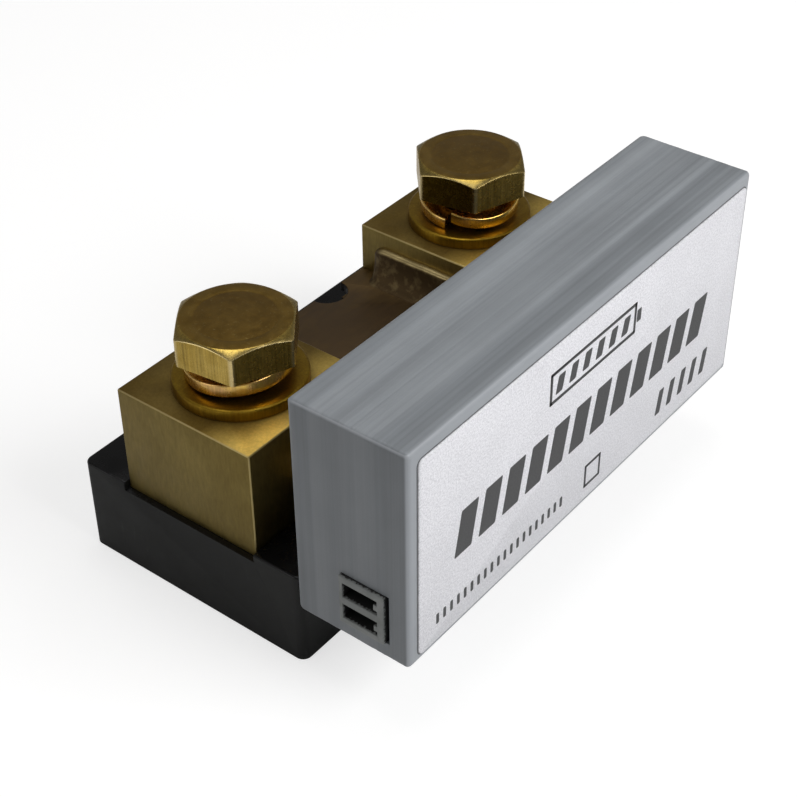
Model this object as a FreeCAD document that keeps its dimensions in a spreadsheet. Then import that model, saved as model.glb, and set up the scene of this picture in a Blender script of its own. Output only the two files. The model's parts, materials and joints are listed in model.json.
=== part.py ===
import FreeCAD, Part
import math
import os
import re
import Sketcher

# Battery monitor shunt: two brass terminal blocks on a moulded base, joined by three
# resistor plates, with the measuring electronics in a case along one side.
# Millimetres, +Z up.  x runs from the near terminal block to the far one, the case is on
# the -y side, and the origin is the middle of the base's underside.

os.makedirs("parts", exist_ok=True)
doc = FreeCAD.newDocument("battery_monitor_shunt")
sheet = doc.addObject("Spreadsheet::Sheet", "dims")

DIMENSIONS = [
    # room between pieces, and how far a cutting shape runs past the face that it cuts
    ("easy_fit", 0.15),
    ("screw_gap", 0.05),
    ("overrun", 1.0),
    # moulded base
    ("base_long", 84.0),
    ("base_wide", 44.0),
    ("base_tall", 16.5),
    ("base_corner", 1.5),
    ("base_edge", 0.4),
    ("channel_floor", 15.1),
    ("channel_wide", 26.2),
    ("channel_end", 15.25),
    ("mount_spread", 17.5),
    ("mount_hole", 2.25),
    ("mount_bore", 4.0),
    ("mount_bore_deep", 3.0),
    ("foot_screw_x", 33.5),
    ("foot_screw_y", 8.5),
    ("foot_recess", 4.2),
    ("foot_recess_deep", 6.0),
    # terminal blocks and the plates between them
    ("block_middle", 28.3),
    ("block_long", 25.5),
    ("block_wide", 25.8),
    ("block_tall", 18.9),
    ("block_edge", 0.2),
    ("stud_hole", 5.03),
    ("small_thread", 2.05),
    ("small_shank", 2.0),
    ("foot_thread_top", 21.5),
    ("plate_thick", 1.6),
    ("plate_pitch", 3.0),
    ("plate_low", 17.85),
    ("plate_in_block", 6.0),
    ("notch_x", 6.4),
    ("notch_y", 13.0),
    ("notch_round", 3.4),
    ("braze_long", 19.2),
    ("braze_tall", 5.9),
    ("braze_out", 3.6),
    ("braze_crown", 1.1),
    ("braze_hollow", 1.1),
    ("braze_sag", 0.3),
    # terminal bolts and their washers
    ("washer_round", 10.2),
    ("washer_hole", 5.3),
    ("washer_thick", 1.9),
    ("spring_round", 8.2),
    ("spring_hole", 5.5),
    ("spring_wire", 2.1),
    ("near_spring_tall", 3.95),
    ("near_spring_rise", 0.1),
    ("near_spring_split", 60.0),
    ("near_spring_tilt", 5.7),
    ("near_spring_high", 292.0),
    ("far_spring_tall", 4.5),
    ("far_spring_rise", 1.7),
    ("far_spring_split", 191.0),
    ("far_spring_tilt", 8.0),
    ("far_spring_high", 35.0),
    ("spring_cut", 8.0),
    ("spring_curl", 8.0),
    ("head_flats", 17.0),
    ("head_tall", 5.5),
    ("head_top", 8.3),
    ("shank_round", 4.98),
    ("shank_long", 20.0),
    ("shank_tip", 0.8),
    ("near_head_turn", 37.3),
    ("far_head_turn", 40.9),
    # screws under the base
    ("foot_head", 3.5),
    ("foot_head_tall", 2.6),
    ("foot_screw_top", 21.0),
    # sense connections from the blocks to the board
    ("sense_height", 24.5),
    ("spacer_flats", 7.0),
    ("spacer_stud", 6.0),
    ("spacer_bore_deep", 7.0),
    ("sense_washer", 4.5),
    ("sense_washer_thick", 0.8),
    ("sense_head", 3.9),
    ("sense_head_tall", 2.6),
    ("sense_shank_long", 16.0),
    # case
    ("case_low_x", -42.9),
    ("case_long", 87.4),
    ("case_back", 22.0),
    ("case_deep", 20.1),
    ("case_low_z", 12.0),
    ("case_tall", 38.05),
    ("case_wall", 2.0),
    ("case_round", 0.8),
    ("case_front_round", 0.8),
    ("cover_thick", 2.0),
    ("tube_round", 4.5),
    ("tube_hole", 2.15),
    ("boss_x", 20.0),
    ("boss_long", 7.0),
    ("boss_deep", 4.5),
    ("boss_tall", 5.85),
    ("boss_roof", 0.6),
    ("ridge_long", 12.0),
    ("ridge_x", 14.0),
    ("ridge_tall", 0.6),
    ("ridge_thick", 0.8),
    ("ridge_inset", 0.6),
    ("ridge_gap", 0.1),
    ("case_screw_y", 26.2),
    ("case_screw_round", 1.25),
    ("case_screw_head", 2.2),
    ("case_screw_sink", 1.2),
    ("case_screw_long", 7.0),
    # label
    ("label_low_x", -40.8),
    ("label_long", 84.0),
    ("label_low_z", 13.3),
    ("label_tall", 34.6),
    ("label_thick", 0.25),
    ("label_corner", 1.0),
    # circuit board
    ("board_low_x", -40.4),
    ("board_long", 82.4),
    ("board_low_z", 14.6),
    ("board_tall", 32.8),
    ("board_back", 28.9),
    ("board_thick", 1.6),
    # wire header
    ("header_low_x", -43.5),
    ("header_long", 10.0),
    ("header_deep", 7.7),
    ("header_low_z", 15.1),
    ("header_tall", 8.7),
    ("header_gap", 0.1),
    ("header_front_gap", 0.6),
    ("slot_low_z", 16.1),
    ("slot_tall", 2.6),
    ("slot_pitch", 3.9),
    ("slot_wide", 6.0),
    ("slot_deep", 7.5),
    ("slot_side", 0.6),
    ("key_wide", 0.6),
    ("key_tall", 1.04),
    ("pin_size", 1.0),
    ("pin_gap", 0.05),
    ("pin_start", 1.8),
    ("pin_past", 1.0),
    # parts on the board
    ("module_low_x", 14.5),
    ("module_long", 25.5),
    ("module_low_z", 29.2),
    ("module_tall", 18.0),
    ("module_thick", 0.8),
    ("shield_low_x", 15.5),
    ("shield_long", 17.5),
    ("shield_low_z", 30.2),
    ("shield_tall", 16.0),
    ("shield_high", 2.3),
    ("shield_wall", 0.25),
    ("leg_long", 1.0),
    ("leg_wide", 0.4),
    ("leg_high", 0.5),
    ("leg_under", 0.1),
    ("can_round", 4.0),
    ("can_tall", 7.0),
    ("coil_corner", 1.6),
    ("chip_cap_pitch", 3.0),
]

value = dict(DIMENSIONS)
for row, (alias, number) in enumerate(DIMENSIONS, start=1):
    sheet.set("A%d" % row, alias)
    sheet.set("B%d" % row, str(number))
    sheet.setAlias("B%d" % row, alias)
doc.recompute()

NEAR = -1
FAR = 1
LABELS = []

# How close two coordinates are when they are taken as the same.
NEARLY = 0.01


def size(text):
    """An expression that reads the sheet wherever the text has an alias in brackets."""
    return re.sub(r"\[(\w+)\]", r"dims.\1", text)


def node(thing, label):
    """Gives a finished sub-part its name and remembers it for the export."""
    thing.Label = label
    LABELS.append(label)
    return thing


# ---------------------------------------------------------------- sketches and features

def new_body(name):
    return doc.addObject("PartDesign::Body", name + "_body")


def new_sketch(body, plane_role, lift, name):
    plane = next(item for item in body.Origin.OriginFeatures if item.Role == plane_role)
    sketch = body.newObject("Sketcher::SketchObject", name)
    sketch.AttachmentSupport = [(plane, "")]
    sketch.MapMode = "FlatFace"
    sketch.setExpression(".AttachmentOffset.Base.z", size(lift))
    return sketch


def bind(sketch, kind, *where):
    """A constraint whose last argument is the expression that drives it."""
    *points, text = where
    index = sketch.addConstraint(Sketcher.Constraint(kind, *points, 1.0))
    sketch.setExpression("Constraints[%d]" % index, size(text))


def rectangle(sketch, low_x, low_y, wide, tall):
    first = sketch.GeometryCount
    corners = [FreeCAD.Vector(x, y, 0) for x, y in ((0, 0), (1, 0), (1, 1), (0, 1))]
    for side in range(4):
        sketch.addGeometry(Part.LineSegment(corners[side], corners[(side + 1) % 4]), False)
    for side in range(4):
        following = first + (side + 1) % 4
        sketch.addConstraint(Sketcher.Constraint("Coincident", first + side, 2, following, 1))
        direction = "Vertical" if side % 2 else "Horizontal"
        sketch.addConstraint(Sketcher.Constraint(direction, first + side))
    bind(sketch, "DistanceX", first, 1, first, 2, wide)
    bind(sketch, "DistanceY", first + 1, 1, first + 1, 2, tall)
    bind(sketch, "DistanceX", -1, 1, first, 1, low_x)
    bind(sketch, "DistanceY", -1, 1, first, 1, low_y)


def circle(sketch, middle_x, middle_y, radius):
    index = sketch.addGeometry(Part.Circle(FreeCAD.Vector(1, 1, 0), FreeCAD.Vector(0, 0, 1), 1), False)
    bind(sketch, "DistanceX", -1, 1, index, 3, middle_x)
    bind(sketch, "DistanceY", -1, 1, index, 3, middle_y)
    bind(sketch, "Radius", index, radius)


def pad(body, sketch, length, backwards=False, middle=False):
    feature = body.newObject("PartDesign::Pad", sketch.Name + "_pad")
    feature.Profile = sketch
    feature.setExpression("Length", size(length))
    feature.Reversed = backwards
    if middle:
        feature.SideType = "Symmetric"
    sketch.Visibility = False
    doc.recompute()
    return feature


def pocket(body, sketch, depth, backwards=False):
    """Cuts the sketch out of the body, and makes sure that it has cut something."""
    before = body.Shape.Volume
    feature = body.newObject("PartDesign::Pocket", sketch.Name + "_pocket")
    feature.Profile = sketch
    feature.setExpression("Length", size(depth))
    feature.Reversed = backwards
    doc.recompute()
    assert body.Shape.Volume < before - NEARLY, sketch.Name + " cuts nothing"
    return feature


def round_edges(body, radius, wanted, kind="PartDesign::Fillet"):
    """Fillets or chamfers the edges of the body's tip that the test picks."""
    tip = body.Tip
    names = ["Edge%d" % (i + 1) for i, edge in enumerate(tip.Shape.Edges) if wanted(edge)]
    assert names, "no edge to round on " + body.Name
    feature = body.newObject(kind, body.Name + "_edges%d" % len(body.Group))
    feature.Base = (tip, names)
    size_name = "Radius" if kind.endswith("Fillet") else "Size"
    feature.setExpression(size_name, size(radius))
    doc.recompute()
    return feature


def runs_along(edge, axis):
    """True for an edge parallel to x (0), y (1) or z (2)."""
    spread = edge.BoundBox.XLength, edge.BoundBox.YLength, edge.BoundBox.ZLength
    return all((length > NEARLY) == (i == axis) for i, length in enumerate(spread))


# ---------------------------------------------------------------- primitives and booleans

def place(thing, low, turn=None):
    if turn:
        thing.Placement = FreeCAD.Placement(FreeCAD.Vector(), FreeCAD.Rotation(*turn))
    for axis, text in zip("xyz", low):
        thing.setExpression(".Placement.Base." + axis, size(text))
    return thing


def box(name, low, lengths):
    thing = doc.addObject("Part::Box", name)
    for field, text in zip(("Length", "Width", "Height"), lengths):
        thing.setExpression(field, size(text))
    return place(thing, low)


# Turns a primitive's own +z to the world's -y.
TO_FRONT = (FreeCAD.Vector(1, 0, 0), 90)


def cylinder(name, middle, radius, height, turn=None):
    thing = doc.addObject("Part::Cylinder", name)
    thing.setExpression("Radius", size(radius))
    thing.setExpression("Height", size(height))
    return place(thing, middle, turn)


def cone(name, middle, low_radius, top_radius, height, turn=None):
    thing = doc.addObject("Part::Cone", name)
    thing.setExpression("Radius1", size(low_radius))
    thing.setExpression("Radius2", size(top_radius))
    thing.setExpression("Height", size(height))
    return place(thing, middle, turn)


def prism(name, middle, flats, height, turn):
    """A hexagonal bar, by its size across the flats."""
    thing = doc.addObject("Part::Prism", name)
    thing.Polygon = 6
    thing.setExpression("Circumradius", size("(%s) / sqrt(3)" % flats))
    thing.setExpression("Height", size(height))
    return place(thing, middle, turn)


def join(name, pieces):
    thing = doc.addObject("Part::MultiFuse", name)
    thing.Shapes = pieces
    return thing


def group(name, pieces):
    """Several separate solids that are kept as one sub-part."""
    thing = doc.addObject("Part::Compound", name)
    thing.Links = pieces
    return thing


def common(name, one, other):
    thing = doc.addObject("Part::MultiCommon", name)
    thing.Shapes = [one, other]
    return thing


def cut(name, base, tools):
    thing = doc.addObject("Part::Cut", name)
    thing.Base = base
    thing.Tool = tools[0] if len(tools) == 1 else join(name + "_tools", tools)
    return thing


# ---------------------------------------------------------------- base

def moulded_base():
    body = new_body("base")
    outline = new_sketch(body, "XY_Plane", "0", "base_outline")
    rectangle(outline, "-[base_long] / 2", "-[base_wide] / 2", "[base_long]", "[base_wide]")
    pad(body, outline, "[base_tall]")
    round_edges(body, "[base_corner]", lambda edge: runs_along(edge, 2))
    top = value["base_tall"]
    round_edges(body, "[base_edge]", lambda edge: edge.BoundBox.ZMin > top - NEARLY)

    channels = new_sketch(body, "XY_Plane", "[base_tall]", "block_channels")
    length = "[base_long] / 2 - [channel_end] + [overrun]"
    for low_x in ("-[base_long] / 2 - [overrun]", "[channel_end]"):
        rectangle(channels, low_x, "-[channel_wide] / 2", length, "[channel_wide]")
    pocket(body, channels, "[base_tall] - [channel_floor]")

    bores = new_sketch(body, "XY_Plane", "[base_tall]", "mount_bores")
    holes = new_sketch(body, "XY_Plane", "[base_tall]", "mount_holes")
    for side in ("", "-"):
        circle(bores, "0", side + "[mount_spread]", "[mount_bore]")
        circle(holes, "0", side + "[mount_spread]", "[mount_hole]")
    pocket(body, bores, "[mount_bore_deep]")
    pocket(body, holes, "[base_tall]")

    recesses = new_sketch(body, "XY_Plane", "0", "screw_recesses")
    passages = new_sketch(body, "XY_Plane", "0", "screw_passages")
    for x in ("", "-"):
        for y in ("", "-"):
            circle(recesses, x + "[foot_screw_x]", y + "[foot_screw_y]", "[foot_recess]")
            circle(passages, x + "[foot_screw_x]", y + "[foot_screw_y]", "[small_thread] + [easy_fit]")
    pocket(body, recesses, "[foot_recess_deep]", backwards=True)
    pocket(body, passages, "[base_tall]", backwards=True)
    return node(body, "base")


# ---------------------------------------------------------------- terminal blocks and plates

def plate_height(index):
    return "[plate_low] + %d * [plate_pitch]" % index


def terminal_block(label, side):
    """One brass block: a stud thread from above, sense and foot threads, plate slots."""
    sign = "-" if side == NEAR else ""
    body = new_body(label)
    outline = new_sketch(body, "XY_Plane", "[channel_floor]", label + "_outline")
    middle = sign + "[block_middle]"
    rectangle(outline, middle + " - [block_long] / 2", "-[block_wide] / 2",
              "[block_long]", "[block_wide]")
    pad(body, outline, "[block_tall]")
    round_edges(body, "[block_edge]", lambda edge: True, "PartDesign::Chamfer")

    stud = new_sketch(body, "XY_Plane", "[channel_floor] + [block_tall]", label + "_stud")
    circle(stud, middle, "0", "[stud_hole]")
    pocket(body, stud, "[block_tall]")

    feet = new_sketch(body, "XY_Plane", "[channel_floor]", label + "_feet")
    for y in ("", "-"):
        circle(feet, sign + "[foot_screw_x]", y + "[foot_screw_y]", "[small_thread]")
    pocket(body, feet, "[foot_thread_top] - [channel_floor]", backwards=True)

    sense = new_sketch(body, "XZ_Plane", "[block_wide] / 2", label + "_sense")
    circle(sense, middle, "[sense_height]", "[small_thread]")
    pocket(body, sense, "[spacer_stud] + 2 * [easy_fit]")

    slots = new_sketch(body, "XZ_Plane", "[block_wide] / 2", label + "_slots")
    inner = "[block_middle] - [block_long] / 2"
    low_x = inner + " - [overrun]" if side == FAR else "-(%s) - [plate_in_block]" % inner
    for index in range(3):
        rectangle(slots, low_x, plate_height(index), "[plate_in_block] + [overrun]", "[plate_thick]")
    pocket(body, slots, "[block_wide]")
    return node(body, label)


def resistor_plate(label, index):
    """One manganin plate, with the notch that was ground in it to set its resistance."""
    body = new_body(label)
    outline = new_sketch(body, "XY_Plane", plate_height(index), label + "_outline")
    reach = "([block_middle] - [block_long] / 2 + [plate_in_block])"
    rectangle(outline, "-" + reach, "-[block_wide] / 2", "2 * " + reach, "[block_wide]")
    pad(body, outline, "[plate_thick]")
    notch = new_sketch(body, "XY_Plane", plate_height(index), label + "_notch")
    circle(notch, "[notch_x]", "[notch_y]", "[notch_round]")
    pocket(body, notch, "[plate_thick]", backwards=True)
    return node(body, label)


def braze_fillet(label, side):
    """The bead of braze between the top plate and a block's inner face."""
    wall = side * (value["block_middle"] - value["block_long"] / 2)
    floor = value["plate_low"] + 2 * value["plate_pitch"] + value["plate_thick"]
    crown = FreeCAD.Vector(wall - side * value["braze_crown"], 0, floor + value["braze_tall"])
    toe = FreeCAD.Vector(wall - side * value["braze_out"], 0, floor)
    belly = (crown + toe) / 2 + FreeCAD.Vector(side * value["braze_hollow"], 0, -value["braze_sag"])
    corner = FreeCAD.Vector(wall, 0, floor)
    peak = FreeCAD.Vector(wall, 0, crown.z)
    edges = [
        Part.LineSegment(corner, toe).toShape(),
        Part.Arc(toe, belly, crown).toShape(),
        Part.LineSegment(crown, peak).toShape(),
        Part.LineSegment(peak, corner).toShape(),
    ]
    section = Part.Face(Part.Wire(edges))
    thing = doc.addObject("Part::Feature", label)
    thing.Shape = section.extrude(FreeCAD.Vector(0, value["braze_long"], 0))
    thing.Placement = FreeCAD.Placement(FreeCAD.Vector(0, -value["braze_long"] / 2, 0),
                                        FreeCAD.Rotation())
    return node(thing, label)


# ---------------------------------------------------------------- bolts and washers

BLOCK_TOP = "[channel_floor] + [block_tall]"


def flat_washer(label, side):
    middle = ("%d * [block_middle]" % side, "0", BLOCK_TOP)
    disc = cylinder(label + "_disc", middle, "[washer_round]", "[washer_thick]")
    hole = cylinder(label + "_hole", middle, "[washer_hole]", "[washer_thick]")
    return node(cut(label, disc, [hole]), label)


def spring_ring(split, rise):
    """A split ring of square-ended wire about the z axis, whose first end curls up by rise.

    split is the angle of the cut, and the ring runs counter-clockwise from it."""
    inner = value["spring_hole"]
    outer = value["spring_round"]
    wire = value["spring_wire"]
    steps = 24
    half_cut = value["spring_cut"] / 2
    sweep = 360.0 - 2 * half_cut
    sections = []
    for step in range(steps + 1):
        share = step / steps
        angle = math.radians(split + half_cut + sweep * share)
        height = rise * (1 - share) ** value["spring_curl"]
        corners = []
        for radius, up in ((inner, 0), (outer, 0), (outer, wire), (inner, wire)):
            corners.append(FreeCAD.Vector(radius * math.cos(angle), radius * math.sin(angle),
                                          height + up))
        sections.append(Part.makePolygon(corners + corners[:1]))
    return Part.makeLoft(sections, True, False)


def lock_washer(label, side, name):
    """A spring washer that leans on the flat washer, with a little room under the head."""
    split, rise, tilt, high = (value[name + "_spring_" + word] for word in ("split", "rise", "tilt", "high"))
    thing = doc.addObject("Part::Feature", label)
    thing.Shape = spring_ring(split, rise)
    across = FreeCAD.Vector(-math.sin(math.radians(high)), math.cos(math.radians(high)), 0)
    lean = FreeCAD.Rotation(across, -tilt)
    thing.Placement = FreeCAD.Placement(FreeCAD.Vector(), lean)
    floor = value["channel_floor"] + value["block_tall"] + value["washer_thick"]
    base = FreeCAD.Vector(side * value["block_middle"], 0, floor - thing.Shape.BoundBox.ZMin)
    thing.Placement = FreeCAD.Placement(base, lean)
    return node(thing, label)


def terminal_bolt(label, side, spring_tall, turn):
    """A hexagon bolt: a chamfered head and a threaded shank, drawn as a plain rod."""
    x = "%d * [block_middle]" % side
    seat = BLOCK_TOP + " + [washer_thick] + [%s]" % spring_tall
    spin = (FreeCAD.Vector(0, 0, 1), value[turn])
    hexagon = prism(label + "_hexagon", (x, "0", seat), "[head_flats]", "[head_tall]", spin)
    hood = cone(label + "_hood", (x, "0", seat), "[head_top] + [head_tall] / tan(30)",
                "[head_top]", "[head_tall]")
    head = common(label + "_head", hexagon, hood)
    straight = "([shank_long] - [shank_tip])"
    rod = cylinder(label + "_rod", (x, "0", "%s - %s" % (seat, straight)),
                   "[shank_round]", straight + " + [overrun]")
    tip = cone(label + "_tip", (x, "0", seat + " - [shank_long]"),
               "[shank_round] - [shank_tip]", "[shank_round]", "[shank_tip]")
    return node(join(label, [head, rod, tip]), label)


# ---------------------------------------------------------------- screws and spacers

def pan_screw(name, middle, head, head_tall, shank, long, turn):
    """A pan-head screw whose head starts at the given point and whose shank goes on past it."""
    return join(name, [
        cylinder(name + "_head", middle, head, head_tall, turn),
        cylinder(name + "_shank", middle, shank, "%s + %s" % (head_tall, long), turn),
    ])


def foot_screws():
    """The four screws that hold the blocks down, put in from under the base."""
    screws = []
    low = "[foot_recess_deep] - [foot_head_tall]"
    for x in ("", "-"):
        for y in ("", "-"):
            place_at = (x + "[foot_screw_x]", y + "[foot_screw_y]", low)
            screws.append(pan_screw("foot_screw%d" % len(screws), place_at, "[foot_head]",
                                    "[foot_head_tall]", "[small_shank]",
                                    "[foot_screw_top] - [foot_recess_deep]", None))
    return node(group("base_block_screws", screws), "base_block_screws")


def sense_spacer(label, side):
    """A hexagonal spacer screwed into a block's side, tapped at its other end."""
    x = "%d * [block_middle]" % side
    face = "-[block_wide] / 2"
    long = "[case_back] - [block_wide] / 2"
    bar = prism(label + "_bar", (x, face, "[sense_height]"), "[spacer_flats]", long, TO_FRONT)
    stud = cylinder(label + "_stud", (x, face + " + [spacer_stud]", "[sense_height]"),
                    "[small_shank]", "[spacer_stud] + [overrun]", TO_FRONT)
    bore = cylinder(label + "_bore", (x, "-[case_back] + [spacer_bore_deep]", "[sense_height]"),
                    "[small_thread]", "[spacer_bore_deep]", TO_FRONT)
    return node(cut(label, join(label + "_blank", [bar, stud]), [bore]), label)


BOARD_FRONT = "-[board_back] - [board_thick]"
TO_BACK = (FreeCAD.Vector(1, 0, 0), -90)


def sense_screws():
    screws = []
    for side in (NEAR, FAR):
        start = ("%d * [block_middle]" % side,
                 BOARD_FRONT + " - [sense_washer_thick] - [sense_head_tall]",
                 "[sense_height]")
        screws.append(pan_screw("sense_screw%d" % len(screws), start, "[sense_head]",
                                "[sense_head_tall]", "[small_shank]",
                                "[sense_shank_long]", TO_BACK))
    return node(group("sense_screws", screws), "sense_screws")


def sense_washers():
    rings = []
    for side in (NEAR, FAR):
        middle = ("%d * [block_middle]" % side, BOARD_FRONT, "[sense_height]")
        name = "sense_washer%d" % len(rings)
        disc = cylinder(name + "_disc", middle, "[sense_washer]", "[sense_washer_thick]", TO_FRONT)
        hole = cylinder(name + "_hole", middle, "[tube_hole]", "[sense_washer_thick]", TO_FRONT)
        rings.append(cut(name, disc, [hole]))
    return node(group("sense_screw_washers", rings), "sense_screw_washers")


# ---------------------------------------------------------------- case

def case_shell():
    """The printed case, open at the back where its cover goes in."""
    body = new_body("case_shell")
    outline = new_sketch(body, "XZ_Plane", "[case_back]", "case_outline")
    rectangle(outline, "[case_low_x]", "[case_low_z]", "[case_long]", "[case_tall]")
    pad(body, outline, "[case_deep]")
    round_edges(body, "[case_round]", lambda edge: runs_along(edge, 1))
    front = -(value["case_back"] + value["case_deep"])
    round_edges(body, "[case_front_round]", lambda edge: edge.BoundBox.YMax < front + NEARLY)

    cavity = new_sketch(body, "XZ_Plane", "[case_back]", "case_cavity")
    rectangle(cavity, "[case_low_x] + [case_wall]", "[case_low_z] + [case_wall]",
              "[case_long] - 2 * [case_wall]", "[case_tall] - 2 * [case_wall]")
    pocket(body, cavity, "[case_deep] - [case_wall]", backwards=True)

    gate = new_sketch(body, "YZ_Plane", "[case_low_x]", "header_gate")
    reach = "[board_back] + [board_thick] + [header_deep]"
    rectangle(gate, "-(%s) - [header_front_gap]" % reach, "[header_low_z] - [header_gap]",
              "[header_deep] + [header_front_gap] + [header_gap]",
              "[header_tall] + 2 * [header_gap]")
    pocket(body, gate, "[case_wall]", backwards=True)

    grooves = new_sketch(body, "XZ_Plane", "[case_back] + [ridge_inset] - [ridge_gap]", "ridge_grooves")
    roof = "[case_low_z] + [case_tall] - [case_wall]"
    for sign in ("", "-"):
        rectangle(grooves, sign + "[ridge_x] - [ridge_long] / 2 - [ridge_gap]", roof,
                  "[ridge_long] + 2 * [ridge_gap]", "[ridge_tall]")
    pocket(body, grooves, "[ridge_thick] + 2 * [ridge_gap]", backwards=True)

    for sign in ("", "-"):
        sinks = new_sketch(body, "XY_Plane", "[case_low_z]", "screw_sink")
        circle(sinks, sign + "[boss_x]", "-[case_screw_y]", "[case_screw_head] + [screw_gap]")
        pocket(body, sinks, "[case_screw_sink]", backwards=True)
        holes = new_sketch(body, "XY_Plane", "[case_low_z]", "screw_hole")
        circle(holes, sign + "[boss_x]", "-[case_screw_y]", "[case_screw_round] + 2 * [screw_gap]")
        pocket(body, holes, "[case_wall]", backwards=True)
    return node(body, "case_shell")


def case_back_cover():
    """The cover in the back of the case, with the tubes and bosses that stand on it."""
    body = new_body("case_back_cover")
    low_x = "[case_low_x] + [case_wall] + [easy_fit]"
    low_z = "[case_low_z] + [case_wall] + [easy_fit]"
    tall = "[case_tall] - 2 * ([case_wall] + [easy_fit])"
    outline = new_sketch(body, "XZ_Plane", "[case_back]", "cover_outline")
    rectangle(outline, low_x, low_z, "[case_long] - 2 * ([case_wall] + [easy_fit])", tall)
    pad(body, outline, "[cover_thick]")

    tubes = new_sketch(body, "XZ_Plane", "[case_back] + [cover_thick]", "cover_tubes")
    holes = new_sketch(body, "XZ_Plane", "[case_back]", "cover_holes")
    bosses = new_sketch(body, "XZ_Plane", "[case_back] + [cover_thick]", "cover_bosses")
    ridges = new_sketch(body, "XZ_Plane", "[case_back] + [ridge_inset]", "cover_ridges")
    for sign in ("", "-"):
        circle(tubes, sign + "[block_middle]", "[sense_height]", "[tube_round]")
        circle(holes, sign + "[block_middle]", "[sense_height]", "[tube_hole]")
        rectangle(bosses, sign + "[boss_x] - [boss_long] / 2", low_z, "[boss_long]", "[boss_tall]")
        rectangle(ridges, sign + "[ridge_x] - [ridge_long] / 2", "%s + %s - [overrun]" % (low_z, tall),
                  "[ridge_long]", "[ridge_tall] + [overrun]")
    pad(body, tubes, "[board_back] - [case_back] - [cover_thick]")
    pad(body, bosses, "[boss_deep]")
    pad(body, ridges, "[ridge_thick]")
    pocket(body, holes, "[board_back] - [case_back]", backwards=True)

    threads = new_sketch(body, "XY_Plane", low_z, "boss_threads")
    for sign in ("", "-"):
        circle(threads, sign + "[boss_x]", "-[case_screw_y]", "[case_screw_round] + [screw_gap]")
    pocket(body, threads, "[boss_tall] - [boss_roof]", backwards=True)
    return node(body, "case_back_cover")


def case_screws():
    """The two countersunk screws that hold the cover in, flush with the case's underside."""
    screws = []
    for sign in ("", "-"):
        name = "case_screw%d" % len(screws)
        middle = (sign + "[boss_x]", "-[case_screw_y]", "[case_low_z]")
        screws.append(join(name, [
            cone(name + "_head", middle, "[case_screw_head]", "[case_screw_round]",
                 "[case_screw_sink]"),
            cylinder(name + "_shank", middle, "[case_screw_round]", "[case_screw_long]"),
        ]))
    return node(group("case_screws", screws), "case_screws")


def front_label():
    body = new_body("front_label")
    outline = new_sketch(body, "XZ_Plane", "[case_back] + [case_deep]", "label_outline")
    rectangle(outline, "[label_low_x]", "[label_low_z]", "[label_long]", "[label_tall]")
    pad(body, outline, "[label_thick]")
    round_edges(body, "[label_corner]", lambda edge: runs_along(edge, 1))
    return node(body, "front_label")


# ---------------------------------------------------------------- electronics

PIN_Y = "(-[board_back] - [board_thick] - [slot_side] - [slot_wide] / 2)"


def pin_height(index):
    return "[slot_low_z] + %d * [slot_pitch] + [slot_tall] / 2" % index


def circuit_board():
    body = new_body("circuit_board")
    outline = new_sketch(body, "XZ_Plane", "[board_back]", "board_outline")
    rectangle(outline, "[board_low_x]", "[board_low_z]", "[board_long]", "[board_tall]")
    pad(body, outline, "[board_thick]")
    holes = new_sketch(body, "XZ_Plane", "[board_back]", "board_holes")
    for sign in ("", "-"):
        circle(holes, sign + "[block_middle]", "[sense_height]", "[tube_hole]")
    legs = "[header_low_x] + [header_long] + [pin_gap]"
    for index in range(2):
        low_z = "%s - [pin_size] / 2 - [pin_gap]" % pin_height(index)
        rectangle(holes, legs + " - [pin_gap]", low_z, "[pin_size] + 2 * [pin_gap]",
                  "[pin_size] + 2 * [pin_gap]")
    pocket(body, holes, "[board_thick]", backwards=True)
    return node(body, "circuit_board")


def wire_header_housing():
    """The two-way wire header: a block with a keyed slot for each wire contact."""
    block = box("header_block", ("[header_low_x]", BOARD_FRONT + " - [header_deep]", "[header_low_z]"),
                ("[header_long]", "[header_deep]", "[header_tall]"))
    tools = []
    slot_y = BOARD_FRONT + " - [slot_side] - [slot_wide]"
    for index in range(2):
        low_z = "[slot_low_z] + %d * [slot_pitch]" % index
        slot = box("header_slot%d" % index, ("[header_low_x]", slot_y, low_z),
                   ("[slot_deep]", "[slot_wide]", "[slot_tall]"))
        key_low_z = low_z + " + ([slot_tall] - [key_tall]) / 2"
        key = box("header_key%d" % index, ("[header_low_x]", slot_y, key_low_z),
                  ("[slot_deep]", "[key_wide]", "[key_tall]"))
        tools.append(cut("header_keyed_slot%d" % index, slot, [key]))
        side = "([pin_size] + 2 * [pin_gap])"
        tools.append(box("header_pin_hole%d" % index,
                         ("[header_low_x] + [slot_deep] - [overrun]", PIN_Y + " - %s / 2" % side,
                          "%s - %s / 2" % (pin_height(index), side)),
                         ("[header_long]", side, side)))
    return node(cut("wire_header_housing", block, tools), "wire_header_housing")


def wire_header_pins():
    """Two bent contacts: along the slot, then down through the board."""
    pins = []
    for index in range(2):
        low_z = pin_height(index) + " - [pin_size] / 2"
        start = "[header_low_x] + [pin_start]"
        bend = "[header_low_x] + [header_long] + [pin_gap]"
        blade = box("pin_blade%d" % index, (start, PIN_Y + " - [pin_size] / 2", low_z),
                    ("[header_long] - [pin_start] + [pin_gap] + [pin_size]", "[pin_size]", "[pin_size]"))
        leg = box("pin_leg%d" % index, (bend, PIN_Y + " - [pin_size] / 2", low_z),
                  ("[pin_size]", "-(%s) - [board_back] + [pin_size] / 2 + [pin_past]" % PIN_Y, "[pin_size]"))
        pins.append(join("header_pin%d" % index, [blade, leg]))
    return node(group("wire_header_pins", pins), "wire_header_pins")


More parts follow.
